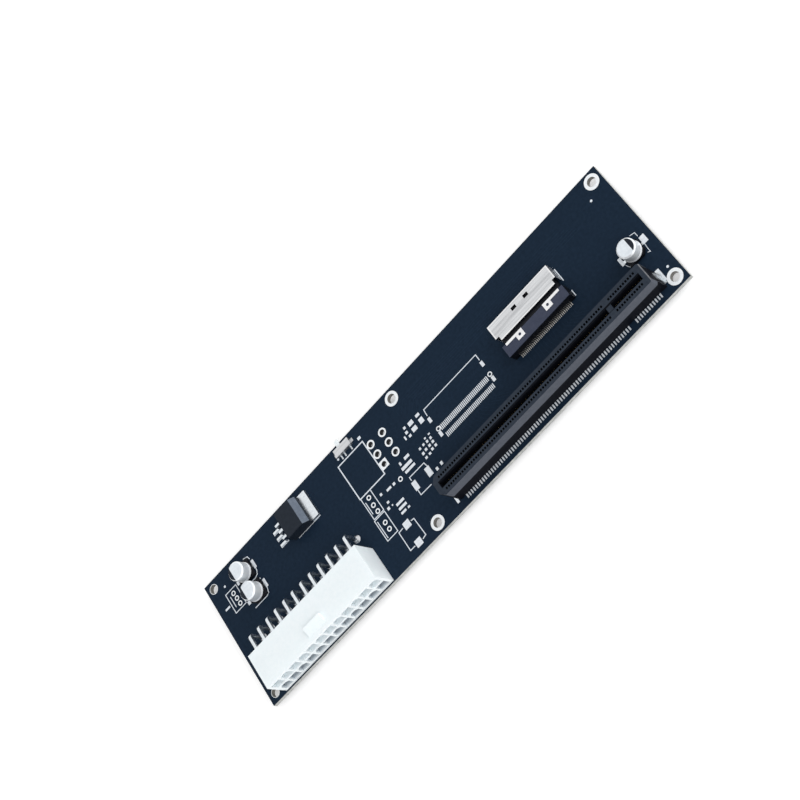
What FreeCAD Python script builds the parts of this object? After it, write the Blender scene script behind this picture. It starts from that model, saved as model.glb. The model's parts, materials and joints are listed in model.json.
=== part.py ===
import FreeCAD, Part
import math
import os
import re
import Sketcher

# Driving sizes in millimetres, one spreadsheet cell each. Places on the board are measured
# from its near left corner, heights from its top face.
SIZES = {
    # circuit board
    "board_length": 187.0,
    "board_width": 49.0,
    "board_thick": 1.6,
    "tail_drop": 1.8,
    "hole_dia": 3.2,
    "hole_inset_x": 3.5,
    "hole_inset_y": 3.4,
    "left_hole_inset": 3.0,
    "far_hole_offset": 1.2,
    "near_hole_gap": 9.9,
    "spare_hole_dia": 1.8,
    "spare_x": 77.7,
    "spare_y": 31.3,
    # graphics-card slot, measured from the middle of its key
    "slot_inset": 21.5,
    "slot_y": 5.9,
    "slot_width": 7.5,
    "slot_height": 10.1,
    "slot_step": 6.1,
    "slot_recess": 0.8,
    "slot_standoff": 0.35,
    "slot_end": 3.0,
    "slot_foot": 2.0,
    "left_corner": 1.7,
    "right_corner": 0.7,
    "contact_pitch": 1.0,
    "contact_width": 0.5,
    "contact_thick": 0.25,
    "contact_height": 7.6,
    "contact_reach": 4.15,
    "contact_row": 2.27,
    "key_gap": 1.5,
    "key_half": 0.95,
    "short_count": 11,
    "long_count": 71,
    "card_gap": 1.75,
    "card_margin": 1.25,
    "card_floor": 2.9,
    "mouth_bevel": 0.38,
    "cavity_width": 0.62,
    "cavity_depth": 0.75,
    "peg_dia": 1.9,
    "clip_foot": 0.9,
    "clip_length": 5.2,
    "clip_offset": 0.6,
    "clip_thick": 0.3,
    "clip_height": 4.2,
    "clip_width": 2.4,
    # power header
    "header_x": 6.9,
    "header_y": 0.5,
    "header_depth": 13.0,
    "header_height": 9.7,
    "header_end": 2.7,
    "pin_pitch": 4.2,
    "pin_columns": 12,
    "pin_size": 1.06,
    "pin_low": 2.7,
    "pin_start": 2.2,
    "pin_knee": 0.7,
    "leg_near": 13.8,
    "leg_gap": 5.5,
    "pin_hole_dia": 1.8,
    "cell_size": 3.5,
    "cell_corner": 0.9,
    "cell_depth": 10.4,
    "latch_width": 7.6,
    "latch_rise": 1.3,
    "latch_run": 3.4,
    "latch_setback": 1.6,
    # capacitors
    "can_dia": 6.3,
    "can_top": 5.4,
    "can_round": 0.45,
    "base_side": 6.6,
    "base_height": 1.1,
    "base_corner": 1.4,
    "strip_width": 0.9,
    "strip_thick": 0.2,
    "strip_inner": 0.7,
    "strip_past": 0.8,
    "cap_right_inset": 7.8,
    "cap_right_y": 18.5,
    "cap_left_x": 16.3,
    "cap_left_y": 33.1,
    "cap_pitch": 8.2,
    # regulator, measured from the middle of its body
    "reg_x": 42.4,
    "reg_y": 40.7,
    "reg_length": 9.1,
    "reg_width": 10.2,
    "reg_height": 4.4,
    "reg_bevel_run": 1.8,
    "reg_bevel_drop": 1.7,
    "reg_draft": 0.35,
    "tab_thick": 1.3,
    "tab_width": 8.6,
    "tab_past": 3.3,
    "tab_inner": 3.6,
    "reg_lead_pitch": 2.54,
    "reg_lead_width": 0.8,
    "reg_lead_thick": 0.5,
    "reg_lead_height": 2.4,
    "reg_lead_reach": 5.3,
    "reg_lead_foot": 3.2,
    # slide switch
    "switch_x": 69.6,
    "switch_length": 6.7,
    "switch_depth": 2.7,
    "switch_height": 1.4,
    "switch_wall": 0.2,
    "ear_reach": 0.85,
    "ear_width": 1.2,
    "lever_width": 1.4,
    "lever_reach": 2.4,
    "lever_past": 0.8,
    "lever_travel": 1.5,
    "lever_low": 0.5,
    "lever_high": 1.1,
    "slider_length": 2.6,
    "slider_low": 0.86,
    "play": 0.06,
    "switch_floor": 0.45,
    "switch_lead_width": 0.5,
    "switch_lead_thick": 0.15,
    "switch_lead_reach": 1.3,
    "switch_lead_pitch": 1.5,
    "wiper_length": 2.0,
    "wiper_thick": 0.15,
    # cable socket, measured from the middle of its rear wall
    "socket_inset": 42.2,
    "socket_y": 22.3,
    "socket_width": 26.0,
    "socket_height": 4.0,
    "socket_depth": 12.8,
    "shell_back": 6.1,
    "shell_wall": 0.25,
    "notch_width": 1.35,
    "notch_depth": 1.6,
    "window_side": 1.9,
    "window_depth": 1.2,
    "window_gap": 5.2,
    "window_setback": 1.3,
    "block_width": 25.9,
    "block_depth": 4.2,
    "nose_width": 23.8,
    "nose_height": 3.0,
    "nose_setback": 0.8,
    "mouth_width": 22.6,
    "mouth_low": 0.9,
    "mouth_high": 2.1,
    "mouth_depth": 5.6,
    "shell_leg": 1.2,
    "strap_thick": 0.2,
    "strap_length": 5.4,
    "strap_width": 0.9,
    "strap_square": 2.9,
    "strap_drop": 2.6,
    "strap_hole": 1.0,
    "strap_start": 4.6,
    "lead_count": 37,
    "lead_pitch": 0.6,
    "lead_width": 0.28,
    "lead_thick": 0.15,
    "lead_reach": 1.0,
    "lead_rise": 1.3,
}

DOC = FreeCAD.newDocument("adapter_card")
SHEET = DOC.addObject("Spreadsheet::Sheet", "Sizes")

# Places that several parts share, as expressions of the sizes
SLOT_X = "(board_length - slot_inset)"
SOCKET_X = "(board_length - socket_inset)"
SLOT_RIGHT = "(key_gap + (short_count - 1) * contact_pitch + slot_end)"
SLOT_LEFT = "(key_gap + (long_count - 1) * contact_pitch + slot_end)"
PIN_HIGH = "(header_height - pin_low)"
SWITCH_Y = "(board_width + lever_past - lever_reach - switch_depth)"
FIRST_LEAD = "((lead_count - 1) * lead_pitch / 2)"
# Where the cable shell's legs start
LEG_PLACES = ("socket_depth - 1.5 * shell_leg", "socket_depth - 4 * shell_leg")
# Where the slot's pegs stand along it
PEG_PLACES = ("0", f"(slot_end - {SLOT_LEFT})")
# Sides of the small holes that repeat
PIN_HOLE_SIDES = 6
SMALL_HOLE_SIDES = 10
# The switch's leads stand at these multiples of their pitch
LEAD_PLACES = (-1.5, -0.5, 1.5)


def fill_sheet():
    """Write every driving size into its own aliased cell."""
    for number, (name, value) in enumerate(SIZES.items(), start=1):
        SHEET.set(f"A{number}", name)
        SHEET.set(f"B{number}", str(value))
        SHEET.setAlias(f"B{number}", name)
    DOC.recompute()


def bind(item, path, text):
    """Drive one property by an expression in which sizes stand under their own names."""
    def cell(match):
        return f"Sizes.{match[0]}" if match[0] in SIZES else match[0]
    item.setExpression(path, re.sub(r"[a-z_]+", cell, text))


def new_body(name, x, y, z="0", turn=0):
    """Start a named part whose origin stands at x, y on the board and z above its top."""
    body = DOC.addObject("PartDesign::Body", name)
    body.Label = name
    body.AllowCompound = True
    body.Placement = FreeCAD.Placement(
        FreeCAD.Vector(), FreeCAD.Rotation(FreeCAD.Vector(0, 0, 1), turn))
    bind(body, "Placement.Base.x", f"{x} - board_length / 2")
    bind(body, "Placement.Base.y", f"{y} - (board_width + lever_past) / 2")
    bind(body, "Placement.Base.z", f"{z} + board_thick + tail_drop")
    return body


def datum(body, role):
    """The body's own origin plane or axis."""
    return next(item for item in body.Origin.OriginFeatures if item.Role == role)


def hold(sketch, edge, point, x, y):
    """Pin one sketch point by its two coordinates."""
    for kind, text in (("DistanceX", x), ("DistanceY", y)):
        index = sketch.addConstraint(Sketcher.Constraint(kind, edge, point, 1.0))
        bind(sketch, f"Constraints[{index}]", text)


def add_loop(sketch, corners):
    """Add a closed outline whose corners are each held by their sizes."""
    count = len(corners)
    first = sketch.GeometryCount
    start = [FreeCAD.Vector(math.cos(math.tau * i / count), math.sin(math.tau * i / count), 0)
             for i in range(count)]
    for i in range(count):
        sketch.addGeometry(Part.LineSegment(start[i], start[(i + 1) % count]), False)
    for i, (x, y) in enumerate(corners):
        after = first + (i + 1) % count
        sketch.addConstraint(Sketcher.Constraint("Coincident", first + i, 2, after, 1))
        hold(sketch, first + i, 1, x, y)


def add_circle(sketch, x, y, diameter):
    """Add a circle held by its middle and its diameter."""
    circle = Part.Circle(FreeCAD.Vector(1, 1, 0), FreeCAD.Vector(0, 0, 1), 1.0)
    index = sketch.addGeometry(circle, False)
    hold(sketch, index, 3, x, y)
    size = sketch.addConstraint(Sketcher.Constraint("Diameter", index, 1.0))
    bind(sketch, f"Constraints[{size}]", diameter)


def box(x0, y0, x1, y1):
    """The corners of an upright rectangle."""
    return [(x0, y0), (x1, y0), (x1, y1), (x0, y1)]


def ring(x, y, diameter, sides):
    """The corners of a many-sided hole, for holes that repeat too often to be round."""
    turns = [math.tau * (i + 0.5) / sides for i in range(sides)]
    return [(f"{x} + {math.cos(turn) / 2:.5f} * {diameter}",
             f"{y} + {math.sin(turn) / 2:.5f} * {diameter}") for turn in turns]


def draw(body, name, plane, loops=(), circles=(), lift="0"):
    """Sketch outlines and circles on one of the body's planes, lifted along its normal."""
    sketch = body.newObject("Sketcher::SketchObject", name)
    sketch.AttachmentSupport = (datum(body, plane), [""])
    sketch.MapMode = "FlatFace"
    bind(sketch, "AttachmentOffset.Base.z", lift)
    for corners in loops:
        add_loop(sketch, corners)
    for x, y, diameter in circles:
        add_circle(sketch, x, y, diameter)
    return sketch


def extrude(body, kind, sketch, length, flip):
    """Add a Pad or a Pocket made from a sketch."""
    feature = body.newObject(f"PartDesign::{kind}", f"{sketch.Name}_{kind.lower()}")
    feature.Profile = sketch
    feature.Reversed = flip
    bind(feature, "Length", length)
    body.Tip = feature
    return feature


def pad(body, sketch, length, flip=False):
    """Grow the sketch along its plane's normal, or against it when flipped."""
    return extrude(body, "Pad", sketch, length, flip)


def pocket(body, sketch, depth, flip=False):
    """Cut the sketch against its plane's normal, or along it when flipped."""
    return extrude(body, "Pocket", sketch, depth, flip)


def repeat(body, feature, role, count, pitch, flip=False):
    """Repeat one feature in a straight row."""
    pattern = body.newObject("PartDesign::LinearPattern", f"{feature.Name}_row")
    pattern.Originals = [feature]
    pattern.Direction = (datum(body, role), [""])
    pattern.Reversed = flip
    bind(pattern, "Length", f"({count} - 1) * {pitch}")
    bind(pattern, "Occurrences", count)
    body.Tip = pattern
    return pattern


def revolve(body, sketch):
    """Turn a half profile right round the body's upright axis."""
    feature = body.newObject("PartDesign::Revolution", f"{sketch.Name}_turned")
    feature.Profile = sketch
    feature.ReferenceAxis = (datum(body, "Z_Axis"), [""])
    feature.Angle = 360
    body.Tip = feature
    return feature


def circuit_board():
    """The board with its mounting, pin, peg and shell-leg holes."""
    body = new_body("circuit_board", "0", "0", "-board_thick")
    sheet = draw(body, "board_outline", "XY_Plane", [box("0", "0", "board_length", "board_width")])
    pad(body, sheet, "board_thick")

    def drill(name, loops=(), circles=()):
        return pocket(body, draw(body, name, "XY_Plane", loops, circles, "board_thick"),
                      "board_thick")

    far_row = "board_width - hole_inset_y"
    drill("mount_holes", circles=[
        ("board_length - hole_inset_x", "hole_inset_y", "hole_dia"),
        ("board_length - hole_inset_x", far_row, "hole_dia"),
        (f"{SLOT_X} - {SLOT_LEFT} - near_hole_gap", "hole_inset_y", "hole_dia"),
        ("board_length / 2 - far_hole_offset", far_row, "hole_dia"),
        ("left_hole_inset", "left_hole_inset", "hole_dia"),
        ("left_hole_inset", "board_width - left_hole_inset", "hole_dia")])
    first = "header_x + header_end"
    legs = drill("pin_holes", [
        ring(first, "header_y + leg_near", "pin_hole_dia", PIN_HOLE_SIDES),
        ring(first, "header_y + leg_near + leg_gap", "pin_hole_dia", PIN_HOLE_SIDES)])
    repeat(body, legs, "X_Axis", "pin_columns", "pin_pitch")
    spare = drill("spare_holes", [
        ring("spare_x", "spare_y", "spare_hole_dia", SMALL_HOLE_SIDES),
        ring("spare_x + leg_gap", "spare_y", "spare_hole_dia", SMALL_HOLE_SIDES)])
    repeat(body, spare, "Y_Axis", "3", "pin_pitch")
    drill("peg_holes", [ring(f"{SLOT_X} + {place}", "slot_y", "(peg_dia + 2 * play)", SMALL_HOLE_SIDES)
                        for place in PEG_PLACES])
    drill("shell_slots", [leg_outline(side, place, "play", SOCKET_X, "socket_y")
                          for side in (-1, 1) for place in LEG_PLACES])


def leg_outline(side, place, play, x="0", y="0"):
    """One shell leg's outline seen from above, grown by some play."""
    outer = f"{x} + {side} * (socket_width / 2 + {play})"
    inner = f"{x} + {side} * (socket_width / 2 - shell_wall - {play})"
    return box(inner, f"{y} + {place} - {play}", outer, f"{y} + {place} + shell_leg + {play}")


def slot_housing():
    """The slot: stepped walls, keyed card gap with a bevelled mouth, contact cavities, pegs."""
    body = new_body("pcie_slot_housing", SLOT_X, "slot_y")
    wide = "slot_width / 2"
    narrow = "slot_width / 2 - slot_recess"
    section = draw(body, "slot_section", "YZ_Plane", [[
        (f"-({narrow})", "0"), (narrow, "0"), (narrow, "slot_step"), (wide, "slot_step"),
        (wide, "slot_height"), (f"-{wide}", "slot_height"), (f"-{wide}", "slot_step"),
        (f"-({narrow})", "slot_step")]], lift=f"-{SLOT_LEFT}")
    pad(body, section, f"{SLOT_LEFT} + {SLOT_RIGHT}")

    corners = []
    for x, inward, cut in ((SLOT_RIGHT, -1, "right_corner"), (f"-{SLOT_LEFT}", 1, "left_corner")):
        for side in (-1, 1):
            edge = f"{side} * {wide}"
            corners.append([(x, edge), (f"{x} + {inward} * {cut}", edge),
                            (x, f"{edge} - {side} * {cut}")])
    pocket(body, draw(body, "slot_corners", "XY_Plane", corners, lift="slot_height"),
           "slot_height")
    relief = box(f"-{SLOT_LEFT} + slot_foot", f"-{wide}", f"{SLOT_RIGHT} - slot_foot", wide)
    pocket(body, draw(body, "slot_relief", "XY_Plane", [relief]), "slot_standoff", flip=True)

    short_end = f"{SLOT_RIGHT} - slot_end + card_margin"
    long_end = f"-({SLOT_LEFT} - slot_end + card_margin)"
    half = "card_gap / 2"
    gaps = [box("key_half", f"-{half}", short_end, half),
            box(long_end, f"-{half}", "-key_half", half)]
    pocket(body, draw(body, "card_gaps", "XY_Plane", gaps, lift="slot_height"),
           "slot_height - card_floor")
    mouth = [(f"-({half} + mouth_bevel)", "slot_height"), (f"-{half}", "slot_height - mouth_bevel"),
             (half, "slot_height - mouth_bevel"), (f"{half} + mouth_bevel", "slot_height")]
    pocket(body, draw(body, "card_mouth", "YZ_Plane", [mouth], lift=long_end),
           f"{short_end} - ({long_end})", flip=True)

    for name, start, count, back in (("short", "key_gap", "short_count", False),
                                     ("long", "-key_gap", "long_count", True)):
        pair = [box(f"{start} - cavity_width / 2", f"{side} * contact_row - cavity_depth / 2",
                    f"{start} + cavity_width / 2", f"{side} * contact_row + cavity_depth / 2")
                for side in (-1, 1)]
        cut = pocket(body, draw(body, f"{name}_cavities", "XY_Plane", pair, lift="slot_height"),
                     "slot_height")
        repeat(body, cut, "X_Axis", count, "contact_pitch", back)

    pegs = [ring(place, "0", "peg_dia", SMALL_HOLE_SIDES) for place in PEG_PLACES]
    pad(body, draw(body, "slot_pegs", "XY_Plane", pegs, lift="slot_standoff"),
        "slot_standoff + board_thick", flip=True)


def slot_contacts():
    """Bent contacts: a foot on the board's surface and a stem that tapers up its cavity."""
    body = new_body("pcie_slot_contacts", SLOT_X, "slot_y")
    for name, start, count, back in (("short", "key_gap", "short_count", False),
                                     ("long", "-key_gap", "long_count", True)):
        pair = []
        for side in (-1, 1):
            outer = f"{side} * contact_reach"
            stem_out = f"{side} * (contact_row + contact_thick / 2)"
            stem_in = f"{side} * (contact_row - contact_thick / 2)"
            pair.append([(outer, "0"), (stem_in, "0"), (stem_in, "contact_height"),
                         (stem_out, "contact_thick")])
        strip = draw(body, f"{name}_contacts", "YZ_Plane", pair,
                     lift=f"{start} - contact_width / 2")
        repeat(body, pad(body, strip, "contact_width"), "X_Axis", count, "contact_pitch", back)


def slot_clip(name, x, turn, offset):
    """A hold-down folded from strip: foot on the board, upright against the slot's end."""
    body = new_body(name, x, "slot_y", turn=turn)
    foot = [("0", "0"), ("clip_foot", "0"), ("clip_foot", "clip_thick"), ("0", "clip_thick")]
    pad(body, draw(body, "clip_foot_side", "XZ_Plane", [foot],
                   lift=f"-clip_length / 2 - {offset}"), "clip_length")
    upright = box("0", "clip_thick", "clip_thick", "clip_height")
    pad(body, draw(body, "clip_upright_side", "XZ_Plane", [upright], lift="-clip_width / 2"),
        "clip_width")


def header_housing():
    """The power header: two rows of keyed cells, pin holes in the back wall and a latch ramp."""
    body = new_body("power_header_housing", "header_x", "header_y")
    length = "2 * header_end + (pin_columns - 1) * pin_pitch"
    block = draw(body, "header_block", "XZ_Plane", [box("0", "0", length, "header_height")])
    pad(body, block, "header_depth", flip=True)

    half = "cell_size / 2"
    for name, start, keyed in (("odd", "header_end", 0), ("even", "header_end + pin_pitch", 1)):
        cells = []
        for row, height in enumerate(("pin_low", PIN_HIGH)):
            left, right = f"{start} - {half}", f"{start} + {half}"
            low, high = f"{height} - {half}", f"{height} + {half}"
            if row == keyed:
                cells.append([(left, low), (right, low), (right, f"{high} - cell_corner"),
                              (f"{right} - cell_corner", high), (f"{left} + cell_corner", high),
                              (left, f"{high} - cell_corner")])
            else:
                cells.append(box(left, low, right, high))
        cut = pocket(body, draw(body, f"{name}_cells", "XZ_Plane", cells), "cell_depth")
        repeat(body, cut, "X_Axis", "pin_columns / 2", "(2 * pin_pitch)")

    pin = "pin_size / 2"
    holes = [box(f"header_end - {pin}", f"{height} - {pin}", f"header_end + {pin}",
                 f"{height} + {pin}") for height in ("pin_low", PIN_HIGH)]
    cut = pocket(body, draw(body, "header_pin_holes", "XZ_Plane", holes), "header_depth")
    repeat(body, cut, "X_Axis", "pin_columns", "pin_pitch")

    ramp = [("latch_setback", "header_height"), ("latch_setback + latch_run", "header_height"),
            ("latch_setback + latch_run", "header_height + latch_rise")]
    pad(body, draw(body, "latch_side", "YZ_Plane", [ramp], lift=f"({length} - latch_width) / 2"),
        "latch_width")


def header_pins(name, height, leg):
    """A row of square pins, bent down behind the housing and through the board."""
    body = new_body(name, "header_x + header_end", "header_y")
    half = "pin_size / 2"
    tail = "-(board_thick + tail_drop)"
    side = [("pin_start", f"{height} - {half}"), (f"{leg} - {half}", f"{height} - {half}"),
            (f"{leg} - {half}", tail), (f"{leg} + {half}", tail),
            (f"{leg} + {half}", f"{height} + {half} - pin_knee"),
            (f"{leg} + {half} - pin_knee", f"{height} + {half}"),
            ("pin_start", f"{height} + {half}")]
    row = pad(body, draw(body, "pin_side", "YZ_Plane", [side], lift=f"-{half}"), "pin_size")
    repeat(body, row, "X_Axis", "pin_columns", "pin_pitch")


def capacitor(number, x, y, turn):
    """One can capacitor: moulded base, turned can and two solder strips along its X."""
    base = new_body(f"capacitor_base_{number}", x, y, turn=turn)
    half = "base_side / 2"
    plate = [(f"-{half}", f"-{half}"), (f"{half} - base_corner", f"-{half}"),
             (half, f"-{half} + base_corner"), (half, f"{half} - base_corner"),
             (f"{half} - base_corner", half), (f"-{half}", half)]
    pad(base, draw(base, "base_plate", "XY_Plane", [plate]), "base_height")
    strip = "strip_width / 2"
    groove = box(f"-{half}", f"-{strip}", half, strip)
    pocket(base, draw(base, "strip_groove", "XY_Plane", [groove]), "strip_thick", flip=True)

    can = new_body(f"capacitor_can_{number}", x, y, turn=turn)
    radius = "can_dia / 2"
    side = [("0", "base_height"), (radius, "base_height"), (radius, "can_top - can_round"),
            (f"{radius} - can_round", "can_top"), ("0", "can_top")]
    revolve(can, draw(can, "can_side", "XZ_Plane", [side]))

    strips = new_body(f"capacitor_terminals_{number}", x, y, turn=turn)
    pair = [box(f"{side} * strip_inner", f"-{strip}", f"{side} * ({half} + strip_past)", strip)
            for side in (-1, 1)]
    pad(strips, draw(strips, "terminal_strips", "XY_Plane", pair), "strip_thick")


def regulator():
    """The regulator: bevelled body over a heat tab, with three bent leads."""
    body = new_body("regulator_body", "reg_x", "reg_y")
    half = "reg_length / 2"
    side = [(f"-{half} + reg_draft", "0"), (half, "0"), (half, "reg_height - reg_bevel_drop"),
            (f"{half} - reg_bevel_run", "reg_height"), (f"-{half} + reg_draft", "reg_height"),
            (f"-{half}", "reg_lead_height")]
    pad(body, draw(body, "reg_side", "XZ_Plane", [side], lift="-reg_width / 2"), "reg_width")
    seat = box("-tab_inner", "-tab_width / 2", half, "tab_width / 2")
    pocket(body, draw(body, "tab_seat", "XY_Plane", [seat]), "tab_thick", flip=True)

    tab = new_body("regulator_tab", "reg_x", "reg_y")
    wide = "reg_width / 2"
    plate = [("-tab_inner", "-tab_width / 2"), (half, "-tab_width / 2"), (half, f"-{wide}"),
             (f"{half} + tab_past", f"-{wide}"), (f"{half} + tab_past", wide), (half, wide),
             (half, "tab_width / 2"), ("-tab_inner", "tab_width / 2")]
    pad(tab, draw(tab, "tab_plate", "XY_Plane", [plate]), "tab_thick")

    leads = new_body("regulator_leads", "reg_x", "reg_y")
    thick = "reg_lead_thick"
    low, high = f"reg_lead_height - {thick} / 2", f"reg_lead_height + {thick} / 2"
    tip = f"-{half} - reg_lead_reach"
    heel = f"-{half} - reg_lead_reach + reg_lead_foot"
    wing = [(f"-{half}", high), (f"{heel} - {thick} / 2", high), (f"{heel} - {thick}", thick),
            (tip, thick), (tip, "0"), (f"{heel} + {thick} / 2", "0"),
            (f"{heel} + {thick}", low), (f"-{half}", low)]
    row = pad(leads, draw(leads, "lead_side", "XZ_Plane", [wing],
                          lift="-reg_lead_pitch - reg_lead_width / 2"), "reg_lead_width")
    repeat(leads, row, "Y_Axis", "3", "reg_lead_pitch", flip=True)


def switch():
    """The slide switch: folded frame with ears, base, leads, and a lever with its wiper."""
    frame = new_body("switch_frame", "switch_x", SWITCH_Y)
    half = "switch_length / 2"
    inner = f"{half} - switch_wall"
    pad(frame, draw(frame, "frame_outline", "XY_Plane",
                    [box(f"-{half}", "0", half, "switch_depth")]), "switch_height")
    hollow = box(f"-({inner})", "switch_wall", inner, "switch_depth - switch_wall")
    pocket(frame, draw(frame, "frame_hollow", "XY_Plane", [hollow]),
           "switch_height - switch_wall", flip=True)
    way = "(lever_width + lever_travel) / 2 + play"
    window = box(f"-({way})", "lever_low - play", way, "lever_high + play")
    pocket(frame, draw(frame, "lever_window", "XZ_Plane", [window], lift="-switch_depth"),
           "switch_wall", flip=True)
    lead_way = "switch_lead_width / 2 + play"
    doors = [box(f"{place} * switch_lead_pitch - ({lead_way})", "0",
                 f"{place} * switch_lead_pitch + {lead_way}",
                 "switch_floor + switch_lead_thick + play") for place in LEAD_PLACES]
    pocket(frame, draw(frame, "lead_doors", "XZ_Plane", doors), "switch_wall")
    ears = [box(f"{side} * {half}", "switch_depth / 2 - ear_width / 2",
                f"{side} * ({half} + ear_reach)", "switch_depth / 2 + ear_width / 2")
            for side in (-1, 1)]
    pad(frame, draw(frame, "frame_ears", "XY_Plane", ears), "switch_wall")

    base = new_body("switch_base", "switch_x", SWITCH_Y)
    block = box(f"-({inner})", "switch_wall", inner, "switch_depth - switch_wall")
    pad(base, draw(base, "base_block", "XY_Plane", [block]), "switch_floor")

    leads = new_body("switch_leads", "switch_x", SWITCH_Y)
    thick = "switch_lead_thick"
    bend = [("-switch_lead_reach", "0"), ("0", "0"), ("0", "switch_floor"),
            ("switch_depth / 2", "switch_floor"), ("switch_depth / 2", f"switch_floor + {thick}"),
            (f"-{thick}", f"switch_floor + {thick}"), (f"-{thick}", thick),
            ("-switch_lead_reach", thick)]
    for place in LEAD_PLACES:
        strip = draw(leads, "lead_bend", "YZ_Plane", [bend],
                     lift=f"{place} * switch_lead_pitch - switch_lead_width / 2")
        pad(leads, strip, "switch_lead_width")

    rest_x = "switch_x - lever_travel / 2"
    lever = new_body("switch_lever", rest_x, SWITCH_Y)
    slider = box("-slider_length / 2", "switch_wall + play", "slider_length / 2",
                 "switch_depth - switch_wall - play")
    pad(lever, draw(lever, "slider_block", "XY_Plane", [slider], lift="slider_low"),
        "lever_high - slider_low")
    stick = box("-lever_width / 2", "lever_low", "lever_width / 2", "lever_high")
    pad(lever, draw(lever, "lever_stick", "XZ_Plane", [stick],
                    lift="-(switch_depth - switch_wall - play - lever_width / 2)"),
        "lever_width / 2 + switch_wall + play + lever_reach", flip=True)

    wiper = new_body("switch_wiper", rest_x, SWITCH_Y)
    blade = box("-wiper_length / 2", "switch_wall + 2 * play", "wiper_length / 2",
                "switch_depth / 2")
    pad(wiper, draw(wiper, "wiper_blade", "XY_Plane", [blade],
                    lift="slider_low - wiper_thick"), "wiper_thick")


def cable_socket():
    """The cable socket: moulded block and nose, folded shell, latch straps and rear leads."""
    housing = new_body("cable_socket_housing", SOCKET_X, "socket_y")
    front = "socket_depth - nose_setback"
    for name, near, far, width, height in (
            ("socket_block", "0", "block_depth", "block_width", "socket_height"),
            ("socket_nose", "block_depth", front, "nose_width", "nose_height")):
        side = box(near, "0", far, height)
        pad(housing, draw(housing, name, "YZ_Plane", [side], lift=f"-{width} / 2"), width)
    mouth = box("-mouth_width / 2", "mouth_low", "mouth_width / 2", "mouth_high")
    pocket(housing, draw(housing, "socket_mouth", "XZ_Plane", [mouth], lift=f"-({front})"),
           "mouth_depth", flip=True)

    shell = new_body("cable_socket_shell", SOCKET_X, "socket_y")
    outer, inner = "socket_width / 2", "(socket_width / 2 - shell_wall)"
    roof = "socket_height - shell_wall"
    fold = [(f"-{outer}", "0"), (f"-{inner}", "0"), (f"-{inner}", roof), (inner, roof),
            (inner, "0"), (outer, "0"), (outer, "socket_height"), (f"-{outer}", "socket_height")]
    pad(shell, draw(shell, "shell_fold", "XZ_Plane", [fold], lift="-shell_back"),
        "socket_depth - shell_back", flip=True)
    notches = [box(f"{side} * ({outer} - notch_width)", "shell_back", f"{side} * {outer}",
                   "shell_back + notch_depth") for side in (-1, 1)]
    pocket(shell, draw(shell, "shell_notches", "XY_Plane", notches, lift="socket_height"),
           "socket_height")
    rim = "socket_depth - window_setback"
    windows = [box(f"{side} * window_gap / 2 - window_side / 2", f"{rim} - window_depth",
                   f"{side} * window_gap / 2 + window_side / 2", rim) for side in (-1, 1)]
    pocket(shell, draw(shell, "shell_windows", "XY_Plane", windows, lift="socket_height"),
           "shell_wall")
    legs = [leg_outline(side, place, "0") for side in (-1, 1) for place in LEG_PLACES]
    pad(shell, draw(shell, "shell_legs", "XY_Plane", legs), "board_thick", flip=True)

    for name, hand in (("left", -1), ("right", 1)):
        strap = new_body(f"cable_socket_clip_{name}", SOCKET_X, "socket_y", "socket_height")
        near, far = f"{hand} * strap_start", f"{hand} * (strap_start + strap_square)"
        tip = f"{hand} * (strap_start + strap_square / 2 + strap_length)"
        back, bar = "block_depth - strap_drop", "block_depth - strap_width"
        plate = [(near, back), (far, back), (far, bar), (tip, bar), (tip, "block_depth"),
                 (near, "block_depth")]
        eye = ring(f"{hand} * (strap_start + strap_square / 2)", "block_depth - strap_drop / 2",
                   "strap_hole", SMALL_HOLE_SIDES)
        pad(strap, draw(strap, "strap_plate", "XY_Plane", [plate, eye]), "strap_thick")

    leads = new_body("cable_socket_leads", SOCKET_X, "socket_y")
    bend = [("-lead_reach", "0"), ("0", "0"), ("0", "lead_rise"), ("-lead_thick", "lead_thick")]
    row = pad(leads, draw(leads, "socket_lead", "YZ_Plane", [bend],
                          lift=f"-{FIRST_LEAD} - lead_width / 2"), "lead_width")
    repeat(leads, row, "X_Axis", "lead_count", "lead_pitch")


def check_and_write():
    """Stop on any failed feature or empty cut, then write one STEP file per part."""
    DOC.recompute()
    for item in DOC.Objects:
        if "Invalid" in item.State or "Error" in item.State:
            raise RuntimeError(f"{item.Name} failed: {item.State}")
        if item.TypeId == "PartDesign::Pocket":
            if item.Shape.Volume > item.BaseFeature.Shape.Volume - 1e-6:
                raise RuntimeError(f"{item.Name} cuts nothing")
    os.makedirs("parts", exist_ok=True)
    for item in DOC.findObjects("PartDesign::Body"):
        if item.Shape.isNull() or not item.Shape.isValid():
            raise RuntimeError(f"{item.Label} has no valid shape")
        item.Shape.exportStep(f"parts/{item.Label}.step")


fill_sheet()
circuit_board()
slot_housing()
slot_contacts()
slot_clip("slot_clip_right", f"{SLOT_X} + {SLOT_RIGHT}", 0, "clip_offset")
slot_clip("slot_clip_left", f"{SLOT_X} - {SLOT_LEFT}", 180, "clip_offset")
header_housing()
header_pins("power_header_pins_lower", "pin_low", "leg_near")
header_pins("power_header_pins_upper", PIN_HIGH, "(leg_near + leg_gap)")
capacitor(1, "board_length - cap_right_inset", "cap_right_y", 0)
capacitor(2, "cap_left_x", "cap_left_y + cap_pitch", 180)
capacitor(3, "cap_left_x", "cap_left_y", 180)
regulator()
switch()
cable_socket()
check_and_write()
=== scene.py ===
"""Dresses the adapter card: board print, pads, solder, plated holes and every piece's finish."""
import json
import math
import bpy
from mathutils import Matrix, Vector

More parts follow.
